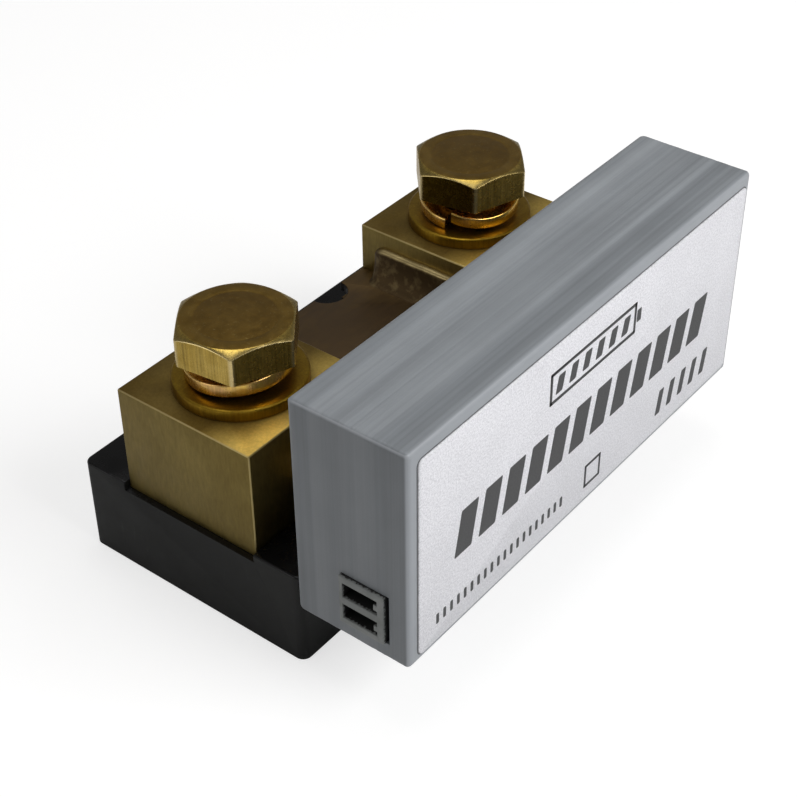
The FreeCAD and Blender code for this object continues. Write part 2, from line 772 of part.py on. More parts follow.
def wireless_module():
    board = box("module_board", ("[module_low_x]", BOARD_FRONT + " - [module_thick]", "[module_low_z]"),
                ("[module_long]", "[module_thick]", "[module_tall]"))
    node(board, "wireless_module_board")
    front = BOARD_FRONT + " - [module_thick] - [shield_high]"
    can = box("shield_can", ("[shield_low_x]", front, "[shield_low_z]"),
              ("[shield_long]", "[shield_high]", "[shield_tall]"))
    room = box("shield_room",
               ("[shield_low_x] + [shield_wall]", front + " + [shield_wall]",
                "[shield_low_z] + [shield_wall]"),
               ("[shield_long] - 2 * [shield_wall]", "[shield_high] - [shield_wall]",
                "[shield_tall] - 2 * [shield_wall]"))
    node(cut("wireless_module_shield", can, [room]), "wireless_module_shield")


# The parts on the board's front: their middle in x and z, length along x, height along z and
# thickness off the board.
ON_BOARD = {
    "current_sense_chip": (-2.0, 31.0, 5.0, 4.0, 1.6),
    "regulator_chip": (-13.0, 38.5, 3.0, 1.8, 1.2),
    "power_inductor": (-21.5, 38.5, 7.0, 7.0, 4.0),
    "bulk_capacitor": (-32.5, 38.5, 8.3, 8.3, 1.0),
    "input_fuse": (-20.0, 21.0, 3.2, 1.6, 1.0),
    "surge_diode": (-12.0, 21.0, 4.6, 3.6, 2.3),
    "filter_capacitors": (-6.0, 42.0, 1.25, 2.0, 0.9),
}
FILTER_CAPACITORS = 6


def board_box(name, part, shift="0"):
    """A rectangular component on the board's front, moved along x by the shift."""
    x, z, long, tall, high = ON_BOARD[part]
    return box(name, ("%s - %s / 2 + %s" % (x, long, shift), BOARD_FRONT + " - %s" % high,
                      "%s - %s / 2" % (z, tall)), (str(long), str(high), str(tall)))


def chip(label, legs):
    """A moulded chip, with a row of legs along its top and its bottom."""
    x, z, long, tall, _ = ON_BOARD[label]
    pieces = [board_box(label + "_mould", label)]
    under = "%s - %s / 2 - [leg_long] + [leg_under]" % (z, tall)
    over = "%s + %s / 2 - [leg_under]" % (z, tall)
    for index in range(legs):
        leg_x = x + long * ((index + 0.5) / legs - 0.5)
        for row, low_z in enumerate((under, over)):
            pieces.append(box("%s_leg%d_%d" % (label, row, index),
                              ("%s - [leg_wide] / 2" % leg_x, BOARD_FRONT + " - [leg_high]", low_z),
                              ("[leg_wide]", "[leg_high]", "[leg_long]")))
    return node(join(label, pieces), label)


def power_inductor():
    """A shielded coil: a square core with cut corners."""
    x, z, long, tall, high = ON_BOARD["power_inductor"]
    body = new_body("power_inductor")
    outline = new_sketch(body, "XZ_Plane", "[board_back] + [board_thick]", "coil_outline")
    rectangle(outline, "%s - %s / 2" % (x, long), "%s - %s / 2" % (z, tall), str(long), str(tall))
    pad(body, outline, str(high))
    round_edges(body, "[coil_corner]", lambda edge: runs_along(edge, 1), "PartDesign::Chamfer")
    return node(body, "power_inductor")


def bulk_capacitor():
    """An upright can on its square foot."""
    x, z, *_ = ON_BOARD["bulk_capacitor"]
    foot = board_box("can_foot", "bulk_capacitor")
    can = cylinder("can", (str(x), BOARD_FRONT, str(z)), "[can_round]", "[can_tall]", TO_FRONT)
    return node(join("bulk_capacitor", [foot, can]), "bulk_capacitor")


def filter_capacitors():
    """A row of small chip capacitors."""
    chips = [board_box("chip_capacitor%d" % index, "filter_capacitors", "%d * [chip_cap_pitch]" % index)
             for index in range(FILTER_CAPACITORS)]
    return node(group("filter_capacitors", chips), "filter_capacitors")


# ---------------------------------------------------------------- the whole shunt

moulded_base()
terminal_block("near_terminal_block", NEAR)
terminal_block("far_terminal_block", FAR)
for level, position in enumerate(("bottom", "middle", "top")):
    resistor_plate(position + "_resistor_plate", level)
braze_fillet("near_braze_fillet", NEAR)
braze_fillet("far_braze_fillet", FAR)
flat_washer("near_flat_washer", NEAR)
flat_washer("far_flat_washer", FAR)
lock_washer("near_lock_washer", NEAR, "near")
lock_washer("far_lock_washer", FAR, "far")
terminal_bolt("near_terminal_bolt", NEAR, "near_spring_tall", "near_head_turn")
terminal_bolt("far_terminal_bolt", FAR, "far_spring_tall", "far_head_turn")
foot_screws()
sense_spacer("near_sense_spacer", NEAR)
sense_spacer("far_sense_spacer", FAR)
sense_screws()
sense_washers()
case_shell()
case_back_cover()
case_screws()
front_label()
circuit_board()
wire_header_housing()
wire_header_pins()
wireless_module()
chip("current_sense_chip", legs=4)
chip("regulator_chip", legs=3)
power_inductor()
bulk_capacitor()
for label in ("input_fuse", "surge_diode"):
    node(board_box(label, label), label)
filter_capacitors()

doc.recompute()

for thing in doc.Objects:
    assert not {"Invalid", "Error"} & set(thing.State), "%s: %s" % (thing.Name, thing.State)

for label in LABELS:
    shape = doc.getObjectsByLabel(label)[0].Shape
    assert not shape.isNull() and shape.isValid(), label + " has no valid shape"
    shape.exportStep("parts/%s.step" % label)
    print("%-26s %3d solid(s) %10.1f mm3" % (label, len(shape.Solids), shape.Volume))
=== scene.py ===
import math
import json
import random
import bmesh
import bpy
from mathutils import Matrix, Vector


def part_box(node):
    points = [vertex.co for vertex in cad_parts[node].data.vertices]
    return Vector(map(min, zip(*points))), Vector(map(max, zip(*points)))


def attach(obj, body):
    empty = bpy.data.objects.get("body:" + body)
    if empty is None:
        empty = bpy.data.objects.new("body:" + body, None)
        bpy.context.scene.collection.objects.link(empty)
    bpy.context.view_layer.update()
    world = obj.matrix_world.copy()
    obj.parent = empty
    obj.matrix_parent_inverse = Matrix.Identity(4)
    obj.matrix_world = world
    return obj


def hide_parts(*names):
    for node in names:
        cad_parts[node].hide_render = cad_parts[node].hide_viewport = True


# The looks of a battery monitor shunt.  Row frame, metres: +X from the near terminal block
# to the far one, the case on the -Y side, +Z up.  MM turns millimetres into metres.  The notch is
# the round one that is ground in each resistor plate.

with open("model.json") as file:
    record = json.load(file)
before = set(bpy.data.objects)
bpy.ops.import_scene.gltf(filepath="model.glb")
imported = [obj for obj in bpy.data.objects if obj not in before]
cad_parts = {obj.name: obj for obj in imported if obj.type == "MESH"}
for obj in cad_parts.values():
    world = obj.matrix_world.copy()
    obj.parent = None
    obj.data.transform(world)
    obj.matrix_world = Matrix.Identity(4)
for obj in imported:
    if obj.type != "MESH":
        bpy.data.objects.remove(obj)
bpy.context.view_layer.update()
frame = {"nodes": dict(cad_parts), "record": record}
MM = 0.001
DICE = random.Random(7)
NOTCH_CENTRE = Vector((0.0064, 0.013, 0))
NOTCH_ROUND = 3.4


# ------------------------------------------------------------------ camera and studio

def add_camera():
    """A 76 mm lens on a 36 mm sensor, looking down on the header end."""
    azimuth, elevation, roll = (math.radians(a) for a in (-51.665, 37.766, -0.642))
    back = Vector((math.sin(azimuth) * math.cos(elevation),
                   -math.cos(azimuth) * math.cos(elevation), math.sin(elevation)))
    right = (-back).cross(Vector((0, 0, 1))).normalized()
    up = right.cross(-back)
    across = right * math.cos(roll) + up * math.sin(roll)
    upright = up * math.cos(roll) - right * math.sin(roll)
    data = bpy.data.cameras.new("camera")
    data.lens = 75.94
    data.sensor_width = 36.0
    data.clip_start = 0.01
    data.clip_end = 20.0
    camera = bpy.data.objects.new("camera", data)
    bpy.context.scene.collection.objects.link(camera)
    turned = Matrix((across, upright, back)).transposed().to_4x4()
    target = Vector((0.06290, 0.04281, -0.04591))
    camera.matrix_world = Matrix.Translation(target + back * 0.37258) @ turned
    bpy.context.scene.camera = camera


def add_softbox(name, place, aim, width, depth, power):
    data = bpy.data.lights.new(name, "AREA")
    data.shape = "RECTANGLE"
    data.size = width
    data.size_y = depth
    data.energy = power
    lamp = bpy.data.objects.new(name, data)
    bpy.context.scene.collection.objects.link(lamp)
    lamp.location = place
    lamp.rotation_euler = (Vector(aim) - Vector(place)).to_track_quat("-Z", "Y").to_euler()


def add_studio():
    scene = bpy.context.scene
    scene.view_settings.view_transform = "Standard"
    scene.view_settings.look = "None"
    world = bpy.data.worlds.new("studio")
    world.use_nodes = True
    world.node_tree.nodes["Background"].inputs["Color"].default_value = (1.0, 0.985, 0.96, 1)
    world.node_tree.nodes["Background"].inputs["Strength"].default_value = 0.22
    scene.world = world
    centre = (0, -0.01, 0.02)
    add_softbox("key", (0.12, -0.62, 0.52), centre, 0.5, 0.4, 4.8)
    add_softbox("top", (0.05, 0.10, 0.75), centre, 0.4, 0.35, 1.1)
    add_softbox("left", (-0.75, 0.35, 0.35), centre, 0.4, 0.5, 0.9)
    add_floor("floor", 0.45, 0.66, seen=True)
    add_floor("floor_bounce", 0.72, 0.0, seen=False)


def add_floor(name, albedo, glow, seen):
    """A pale floor.  The one that the camera sees is lifted to white and has walls, so that no edge
    shows from low down; the other lights the object."""
    reach = 3.5
    mesh = bpy.data.meshes.new(name)
    corners = [(-reach, -reach, 0), (reach, -reach, 0), (reach, reach, 0), (-reach, reach, 0)]
    faces = [(0, 1, 2, 3)]
    if seen:
        corners += [(x, y, reach) for x, y, _ in corners]
        faces += [(i, (i + 1) % 4, (i + 1) % 4 + 4, i + 4) for i in range(4)]
    mesh.from_pydata(corners, [], faces)
    floor = bpy.data.objects.new(name, mesh)
    floor.location.z = -0.0002 if seen else -0.0004
    floor.visible_camera = seen
    floor.visible_diffuse = not seen
    floor.visible_glossy = not seen
    floor.visible_shadow = False
    bpy.context.scene.collection.objects.link(floor)
    paint = Shader(name + "_white")
    paint.set("Base Color", (albedo, albedo, albedo))
    paint.set("Roughness", 0.9)
    paint.set("Specular IOR Level", 0.0)
    paint.set("Emission Color", (1, 1, 1))
    paint.set("Emission Strength", glow)
    mesh.materials.append(paint.material)


# ------------------------------------------------------------------ node materials

class Shader:
    """A Principled material, with short names for the nodes that the finishes below use."""

    def __init__(self, name):
        self.material = bpy.data.materials.new(name)
        self.material.use_nodes = True
        self.tree = self.material.node_tree
        self.shader = self.tree.nodes["Principled BSDF"]
        self.heights = []

    def node(self, kind, **inputs):
        made = self.tree.nodes.new(kind)
        for name, source in inputs.items():
            self.feed(made.inputs[name], source)
        return made

    def feed(self, socket, source):
        if hasattr(source, "is_output"):
            self.tree.links.new(source, socket)
        elif isinstance(source, tuple) and socket.type == "RGBA":
            socket.default_value = (*source, 1)
        else:
            socket.default_value = source

    def set(self, socket, source):
        self.feed(self.shader.inputs[socket], source)

    def maths(self, operation, *sources):
        made = self.tree.nodes.new("ShaderNodeMath")
        made.operation = operation
        for socket, source in zip(made.inputs, sources):
            self.feed(socket, source)
        return made.outputs[0]

    def place(self, stretch=(1, 1, 1), centre=(0, 0, 0)):
        """The point on the piece in millimetres from centre, stretched along each axis."""
        made = self.node("ShaderNodeMapping", Vector=self.node("ShaderNodeTexCoord").outputs["Object"])
        made.inputs["Scale"].default_value = [share / MM for share in stretch]
        made.inputs["Location"].default_value = [-at * share / MM for at, share in zip(centre, stretch)]
        return made.outputs[0]

    def noise(self, scale, stretch=(1, 1, 1), detail=3.0, rough=0.55):
        """Noise of about `scale` cycles a millimetre, between 0 and 1."""
        made = self.node("ShaderNodeTexNoise", Vector=self.place(stretch), Scale=scale,
                         Detail=detail, Roughness=rough)
        return made.outputs["Fac"]

    def speckle(self, scale):
        made = self.node("ShaderNodeTexVoronoi", Vector=self.place(), Scale=scale)
        return made.outputs["Distance"]

    def axis(self, index, centre=(0, 0, 0)):
        split = self.node("ShaderNodeSeparateXYZ", Vector=self.place(centre=centre))
        return split.outputs[index]

    def radius(self, centre):
        """Millimetres from the vertical line through centre."""
        x = self.axis(0, centre)
        y = self.axis(1, centre)
        total = self.maths("ADD", self.maths("MULTIPLY", x, x), self.maths("MULTIPLY", y, y))
        return self.maths("SQRT", total)

    def facing(self, index):
        """How far the surface faces along an axis of the piece, -1 to 1."""
        normal = self.node("ShaderNodeTexCoord").outputs["Normal"]
        return self.node("ShaderNodeSeparateXYZ", Vector=normal).outputs[index]

    def band(self, source, low, high, soft):
        """1 where source lies between low and high, fading over soft."""
        rise = self.ramp(source, low - soft, low + soft, 0, 1)
        fall = self.ramp(source, high - soft, high + soft, 1, 0)
        return self.maths("MULTIPLY", rise, fall)

    def ramp(self, source, low, high, first, last):
        """Maps low..high to first..last, and holds at the ends."""
        made = self.node("ShaderNodeMapRange", Value=source)
        made.inputs["From Min"].default_value = low
        made.inputs["From Max"].default_value = high
        made.inputs["To Min"].default_value = first
        made.inputs["To Max"].default_value = last
        return made.outputs["Result"]

    def blend(self, share, first, last, how="MIX"):
        made = self.tree.nodes.new("ShaderNodeMix")
        made.data_type = "RGBA"
        made.blend_type = how
        self.feed(made.inputs[0], share)
        self.feed(made.inputs[6], first)
        self.feed(made.inputs[7], last)
        return made.outputs[2]

    def tint(self, colour, amount):
        """colour times a grey amount."""
        return self.blend(1.0, colour, amount, "MULTIPLY")

    def raise_by(self, source, millimetres):
        """Adds source, scaled, to the height that the bump works from."""
        self.heights.append(self.maths("MULTIPLY", source, millimetres * MM))

    def finish(self):
        """Joins the heights into one bump and gives the material."""
        if self.heights:
            total = self.heights[0]
            for height in self.heights[1:]:
                total = self.maths("ADD", total, height)
            bump = self.node("ShaderNodeBump", Height=total)
            bump.inputs["Distance"].default_value = 1.0
            bump.inputs["Strength"].default_value = 1.0
            self.set("Normal", bump.outputs["Normal"])
        return self.material


def metal(name, colour, shade, roughness, grain=(1, 1, 1)):
    """A metal with cloudy tarnish, a directional grain and patches of differing polish."""
    worn = 0.12
    spread = 0.35
    grain_height = 0.003
    paint = Shader(name)
    cloud = paint.noise(0.16, detail=4.0, rough=0.62)
    lines = paint.noise(3.0, grain, detail=3.0)
    body = paint.blend(paint.ramp(cloud, 0.38, 0.66, 0, 1), colour, shade)
    fine = paint.ramp(lines, 0.3, 0.7, 1 - spread / 2, 1 + spread / 2)
    paint.set("Base Color", paint.tint(body, fine))
    paint.set("Metallic", 1.0)
    patch = paint.noise(0.5, detail=4.0)
    paint.set("Roughness", paint.ramp(patch, 0.3, 0.7, roughness - worn, roughness + worn))
    paint.raise_by(lines, grain_height)
    return paint


def plastic(name, colour, shade, roughness, pits=0.004, pit_scale=5.0):
    """A moulded plastic: slight clouds of colour, a fine skin and uneven gloss."""
    paint = Shader(name)
    cloud = paint.noise(0.3, detail=4.0)
    skin = paint.noise(pit_scale, detail=4.0)
    paint.set("Base Color", paint.blend(paint.ramp(cloud, 0.35, 0.65, 0, 1), colour, shade))
    paint.set("Roughness", paint.ramp(cloud, 0.3, 0.7, roughness - 0.06, roughness + 0.08))
    paint.raise_by(skin, pits)
    return paint


def base_plastic():
    """Near-black moulding: a glossy top, and greyer, duller sides with light scuffs."""
    paint = Shader("moulded_black")
    up = paint.ramp(paint.facing(2), 0.3, 0.8, 0, 1)
    cloud = paint.noise(0.22, detail=5.0)
    mottle = paint.ramp(cloud, 0.35, 0.68, 0, 1)
    side = paint.blend(mottle, (0.0042, 0.0044, 0.0040), (0.0085, 0.0087, 0.0081))
    scuff = paint.ramp(paint.noise(1.1, (1, 1, 0.12), detail=6.0, rough=0.7), 0.62, 0.74, 0, 1)
    side = paint.blend(paint.maths("MULTIPLY", scuff, 0.35), side, (0.045, 0.045, 0.044))
    paint.set("Base Color", paint.blend(up, side, (0.0035, 0.0035, 0.004)))
    rough = paint.maths("ADD", paint.ramp(up, 0, 1, 0.46, 0.26), paint.ramp(cloud, 0.3, 0.7, -0.06, 0.08))
    paint.set("Roughness", rough)
    paint.set("Specular IOR Level", 0.26)
    paint.raise_by(paint.noise(7.0, detail=3.0), 0.002)
    paint.raise_by(scuff, 0.004)
    return paint.finish()


def block_brass(name, centre):
    """Sanded brass: soft grain, a browner top with a painted reflection that brightens it towards the case,
    a darker ring round the washer, pale edges.
    """
    paint = Shader(name)
    up = paint.ramp(paint.facing(2), 0.4, 0.9, 0, 1)
    cloud = paint.noise(0.11, detail=3.0, rough=0.5)
    sanding = paint.noise(2.2, (1, 1, 0.25), detail=5.0, rough=0.65)
    sawing = paint.noise(2.6, (0.1, 1, 1), detail=4.0)
    side = paint.blend(paint.ramp(cloud, 0.36, 0.66, 0, 1), (0.242, 0.180, 0.056), (0.205, 0.149, 0.044))
    top = paint.blend(paint.ramp(cloud, 0.36, 0.66, 0, 1), (0.240, 0.166, 0.047), (0.172, 0.112, 0.026))
    # Painted reflection of the case: the top is lightened towards it.
    case_reflection = paint.ramp(paint.axis(1), -10.0, -3.5, 0.9, 0)
    body = paint.blend(up, side, paint.blend(case_reflection, top, (0.78, 0.57, 0.155)))
    # A darker ring on the top just round the washer.
    washer_ring = paint.band(paint.radius(centre), 10.0, 10.7, 0.4)
    body = paint.blend(paint.maths("MULTIPLY", paint.maths("MULTIPLY", washer_ring, up), 0.3), body,
                       (0.12, 0.075, 0.02))
    body = paint.tint(body, paint.ramp(sanding, 0.3, 0.7, 0.86, 1.13))
    across = paint.maths("MAXIMUM", paint.maths("ABSOLUTE", paint.facing(0)), paint.maths(
        "ABSOLUTE", paint.facing(1)))
    worn = paint.ramp(paint.maths("MAXIMUM", across, paint.facing(2)), 0.86, 0.96, 0.5, 0)
    paint.set("Base Color", paint.blend(worn, body, (0.62, 0.50, 0.24)))
    paint.set("Metallic", 1.0)
    polish = paint.ramp(paint.noise(0.4, detail=3.0), 0.3, 0.7, 0.40, 0.48)
    paint.set("Roughness", paint.maths("ADD", polish, paint.ramp(up, 0, 1, 0, 0.1)))
    paint.raise_by(sanding, 0.004)
    paint.raise_by(sawing, 0.002)
    return paint.finish()


def bolt_side(paint, cloud, drawn, flat_shade):
    """The colour of the flats, with painted shade where they face -X and -Y."""
    side = paint.blend(paint.ramp(cloud, 0.35, 0.68, 0, 1), (0.60, 0.425, 0.110), (0.45, 0.300, 0.058))
    side = paint.tint(side, paint.ramp(drawn, 0.3, 0.7, 0.55, 1.3))
    for index, share in enumerate(flat_shade):
        # Painted shade: flats facing -X or -Y are darkened towards a dark olive.
        shaded_flat = paint.ramp(paint.facing(index), -0.95, -0.8, share, 0)
        side = paint.blend(shaded_flat, side, (0.15, 0.100, 0.012))
    return side


def bolt_top(paint, cloud, reach, ring, wear):
    """The colour of the top: browner inside the groove, and pale where it is worn."""
    top = paint.blend(paint.ramp(cloud, 0.35, 0.68, 0, 1), (0.30, 0.188, 0.043), (0.21, 0.125, 0.023))
    middle = paint.ramp(reach, ring - 0.3, ring + 0.2, 1, 0)
    top = paint.blend(paint.maths("MULTIPLY", middle, 0.45), top, (0.185, 0.106, 0.023))
    return paint.blend(paint.maths("MULTIPLY", wear, 0.75), top, (0.50, 0.38, 0.15))


def bolt_brass(name, centre, ring, flat_shade):
    """Brass bar stock: drawn lines down the flats, a turned top and a browner middle.

    Its last argument holds how much painted shade the -X and the -Y flats get, from 0 to 1."""
    paint = Shader(name)
    up = paint.ramp(paint.facing(2), 0.93, 0.985, 0, 1)
    drawn = paint.noise(2.6, (1, 1, 0.02), detail=5.0, rough=0.72)
    cloud = paint.noise(0.3, detail=5.0, rough=0.62)
    reach = paint.radius(centre)
    turned = paint.node("ShaderNodeTexNoise", Vector=paint.node(
        "ShaderNodeCombineXYZ", X=reach).outputs[0], Scale=5.5, Detail=2.0).outputs["Fac"]
    wear = paint.ramp(paint.noise(2.4, detail=6.0, rough=0.75), 0.58, 0.72, 0, 1)
    side = bolt_side(paint, cloud, drawn, flat_shade)
    top = bolt_top(paint, cloud, reach, ring, wear)
    # Painted shade on a bolt also dims its pale edges and darkens its chamfer.
    unshaded = 1 - 0.6 * max(flat_shade)
    # Pale bevel edges and corners: edge wear, and partly a painted highlight.
    edges = paint.maths("MULTIPLY", paint.band(paint.facing(2), 0.2, 0.78, 0.1), 0.8 * unshaded)
    corners = paint.maths("MULTIPLY", paint.ramp(reach, CORNER - 0.3, CORNER - 0.12, 0, 1), 0.6)
    chamfer = paint.maths("MULTIPLY", paint.band(paint.facing(2), 0.82, 0.9, 0.03), 1 - 0.5 * unshaded)
    body = paint.blend(chamfer, paint.blend(up, side, top), (0.24, 0.180, 0.060))
    body = paint.blend(paint.maths("MAXIMUM", edges, corners), body, (0.85, 0.70, 0.38))
    paint.set("Base Color", body)
    paint.set("Metallic", 1.0)
    patch = paint.noise(0.9, detail=5.0)
    rough = paint.blend(up, paint.ramp(patch, 0.3, 0.7, 0.2, 0.32), paint.ramp(patch, 0.3, 0.7, 0.3, 0.46))
    paint.set("Roughness", rough)
    paint.raise_by(paint.maths("MULTIPLY", drawn, paint.ramp(up, 0, 1, 1, 0)), 0.012)
    paint.raise_by(paint.maths("MULTIPLY", turned, up), 0.006)
    paint.raise_by(wear, -0.006)
    return paint.finish()


def ring_metal(name, centre, colour, shade, roughness):
    """A washer's finish: rings from the punch or the coiling, and cloudy tarnish."""
    paint = Shader(name)
    cloud = paint.noise(0.35, detail=5.0, rough=0.65)
    rings = paint.node("ShaderNodeTexNoise", Vector=paint.node(
        "ShaderNodeCombineXYZ", X=paint.radius(centre)).outputs[0], Scale=3.5, Detail=3.0).outputs["Fac"]
    edge = paint.noise(3.2, (1, 1, 0.06), detail=3.0)
    body = paint.blend(paint.ramp(cloud, 0.36, 0.66, 0, 1), colour, shade)
    paint.set("Base Color", paint.tint(body, paint.ramp(edge, 0.3, 0.7, 0.8, 1.15)))
    paint.set("Metallic", 1.0)
    paint.set("Roughness", paint.ramp(cloud, 0.3, 0.7, roughness - 0.07, roughness + 0.1))
    paint.raise_by(rings, 0.006)
    paint.raise_by(edge, 0.004)
    return paint.finish()


def printed_plastic(name, colour, shade):
    """Grey printed plastic with its layers stacked along y, so its streaks run round the case.  Its
    ends are darkened with painted shade, and its rounded edges and its front lightened with a painted
    highlight."""
    paint = Shader(name)
    up = paint.ramp(paint.facing(2), 0.3, 0.8, 0, 1)
    front = paint.ramp(paint.facing(1), -0.85, -0.45, 1, 0)
    depth = paint.axis(1)
    streak = paint.noise(0.75, (0.012, 1.0, 0.012), detail=4.0, rough=0.55)
    broad = paint.noise(0.28, (0.02, 1.0, 0.02), detail=2.0)
    layer = paint.noise(4.2, (0.006, 1.0, 0.006), detail=2.0)
    cloud = paint.noise(0.09, detail=3.0)
    shown = paint.maths("MAXIMUM", up, paint.ramp(depth, -27.0, -24.0, 0.35, 1))
    body = paint.blend(paint.ramp(broad, 0.36, 0.64, 0, 1), colour, shade)
    swing = paint.maths("MULTIPLY", paint.maths("SUBTRACT", streak, 0.5), shown)
    body = paint.tint(body, paint.maths("ADD", paint.maths("MULTIPLY", swing, 0.9), 1.0))
    body = paint.tint(body, paint.ramp(layer, 0.3, 0.7, 0.97, 1.03))
    body = paint.tint(body, paint.ramp(cloud, 0.3, 0.7, 0.95, 1.05))
    line = paint.maths("MULTIPLY", paint.band(depth, -40.6, -40.1, 0.35), up)
    body = paint.blend(paint.maths("MULTIPLY", line, 0.3), body, (0.12, 0.13, 0.14))
    sideways = paint.maths("ABSOLUTE", paint.facing(0))
    # Painted shade: the ends, facing along x, are darkened by up to 22 %.
    body = paint.tint(body, paint.ramp(sideways, 0.75, 0.97, 1, 0.78))
    flattest = paint.maths("MAXIMUM", sideways, paint.maths("MAXIMUM", up, front))
    # Painted highlight: the rounded edges and the front face are lightened.
    arris = paint.ramp(flattest, 0.8, 0.97, 0.5, 0)
    painted_highlight = paint.maths("MAXIMUM", paint.maths("MULTIPLY", front, 0.5), arris)
    paint.set("Base Color", paint.blend(painted_highlight, body, (0.38, 0.40, 0.43)))
    paint.set("Roughness", paint.ramp(streak, 0.3, 0.7, 0.34, 0.5))
    paint.set("Specular IOR Level", 0.55)
    paint.raise_by(layer, 0.005)
    paint.raise_by(paint.noise(9.0, detail=2.0), 0.0015)
    return paint.finish()


def label_film():
    """Silvery white film with a fine sparkle."""
    paint = Shader("label_film")
    grain = paint.noise(3.4, detail=4.0, rough=0.75)
    cloud = paint.noise(0.12, detail=3.0)
    body = paint.blend(paint.ramp(grain, 0.38, 0.62, 0, 1), (0.60, 0.60, 0.635), (0.85, 0.85, 0.885))
    paint.set("Base Color", paint.tint(body, paint.ramp(cloud, 0.3, 0.7, 0.97, 1.03)))
    paint.set("Metallic", 0.12)
    paint.set("Roughness", paint.ramp(grain, 0.35, 0.65, 0.42, 0.62))
    paint.raise_by(grain, 0.012)
    return paint.finish()


def label_ink():
    paint = Shader("label_ink")
    grain = paint.noise(3.4, detail=4.0, rough=0.75)
    thin = paint.ramp(grain, 0.62, 0.8, 0, 0.35)
    paint.set("Base Color", paint.blend(thin, (0.052, 0.052, 0.054), (0.25, 0.25, 0.26)))
    paint.set("Roughness", paint.ramp(grain, 0.35, 0.65, 0.5, 0.66))
    paint.raise_by(grain, 0.004)
    return paint.finish()


def plate_metal():
    """Manganin that has browned where it was brazed, with painted shade, nearly black, inside the ground
    notch.
    """
    paint = Shader("manganin")
    x = paint.maths("ABSOLUTE", paint.axis(0))
    heat = paint.maths("ADD", paint.ramp(x, 8.0, 15.5, 0, 0.8), paint.ramp(
        paint.noise(0.25, detail=5.0), 0.35, 0.7, -0.15, 0.3))
    rolled = paint.noise(3.0, (0.08, 1, 1), detail=4.0)
    body = paint.blend(heat, (0.130, 0.086, 0.046), (0.19, 0.122, 0.045))
    body = paint.tint(body, paint.ramp(rolled, 0.3, 0.7, 0.9, 1.1))
    # Painted shade: the notch's wall is coloured nearly black.
    notch_shade = paint.ramp(paint.radius(NOTCH_CENTRE), NOTCH_ROUND + 0.02, NOTCH_ROUND + 0.2, 1, 0)
    paint.set("Base Color", paint.blend(notch_shade, body, (0.006, 0.005, 0.004)))
    paint.set("Metallic", 1.0)
    paint.set("Roughness", paint.ramp(rolled, 0.3, 0.7, 0.46, 0.6))
    paint.raise_by(rolled, 0.004)
    return paint.finish()


def braze_metal(crown):
    """Poured brass: a painted highlight along the crown, and burnt brown towards the plate."""
    paint = Shader("braze_metal")
    height = paint.axis(2)
    # Burnt brown low down, and a painted highlight: bright, glossier colour along the crown.
    burn_and_crown_highlight = paint.maths("ADD", paint.ramp(height, crown - 0.9, crown - 0.2, 1, 0), paint.ramp(
        paint.noise(0.6, detail=5.0), 0.35, 0.7, -0.2, 0.25))
    paint.set("Base Color", paint.blend(burn_and_crown_highlight, (0.46, 0.36, 0.17), (0.085, 0.056, 0.027)))
    paint.set("Metallic", 1.0)
    paint.set("Roughness", paint.ramp(burn_and_crown_highlight, 0, 1, 0.3, 0.58))
    paint.raise_by(paint.noise(1.6, detail=4.0), 0.012)
    return paint.finish()


def board_lacquer():
    paint = plastic("board_green", (0.012, 0.085, 0.035), (0.02, 0.11, 0.05), 0.34)
    paint.raise_by(paint.speckle(1.2), 0.01)
    return paint.finish()


def zinc():
    return metal("zinc_steel", (0.52, 0.53, 0.55), (0.38, 0.39, 0.42), 0.32).finish()


def spacer_brass():
    return metal("spacer_brass", (0.52, 0.39, 0.15), (0.40, 0.28, 0.09), 0.3, grain=(0.1, 1, 1)).finish()


def tinned():
    return metal("tinned_metal", (0.62, 0.62, 0.60), (0.50, 0.50, 0.49), 0.3).finish()


def can_metal():
    return metal("can_metal", (0.60, 0.61, 0.63), (0.50, 0.51, 0.53), 0.28, grain=(1, 0.05, 1)).finish()


def chip_black():
    return plastic("chip_black", (0.013, 0.013, 0.014), (0.022, 0.022, 0.023), 0.5, 0.01, 8.0).finish()


def core_grey():
    return plastic("core_grey", (0.035, 0.035, 0.038), (0.06, 0.06, 0.062), 0.6, 0.02, 6.0).finish()


def ceramic_tan():
    return plastic("ceramic_tan", (0.34, 0.24, 0.14), (0.26, 0.18, 0.10), 0.5, 0.006, 6.0).finish()


def header_plastic(mouth):
    """Grey moulding whose slots are darkened to black with painted shade from a ragged line just inside the
    mouth.
    """
    paint = Shader("header_grey")
    cloud = paint.noise(0.3, detail=4.0)
    skin = paint.blend(paint.ramp(cloud, 0.35, 0.65, 0, 1), (0.215, 0.225, 0.220), (0.165, 0.175, 0.170))
    ragged = paint.ramp(paint.noise(2.2, detail=2.0), 0.35, 0.65, -0.2, 0.2)
    # Painted shade: the slots go black from a ragged line inside the mouth.
    shade_depth = paint.maths("ADD", paint.axis(0), ragged)
    paint.set("Base Color", paint.blend(paint.ramp(shade_depth, mouth + 0.2, mouth + 0.5, 0, 1), skin,
                                        (0.006, 0.006, 0.006)))
    paint.set("Roughness", paint.ramp(cloud, 0.3, 0.7, 0.4, 0.55))
    paint.raise_by(paint.noise(6.0, detail=4.0), 0.006)
    return paint.finish()


# ------------------------------------------------------------------ mesh helpers

def strip_faces(rings, points):
    """Quads between closed rings of `points` vertices each."""
    faces = []
    for ring in range(rings - 1):
        for i in range(points):
            a = ring * points + i
            b = ring * points + (i + 1) % points
            faces.append((a, b, b + points, a + points))
    return faces


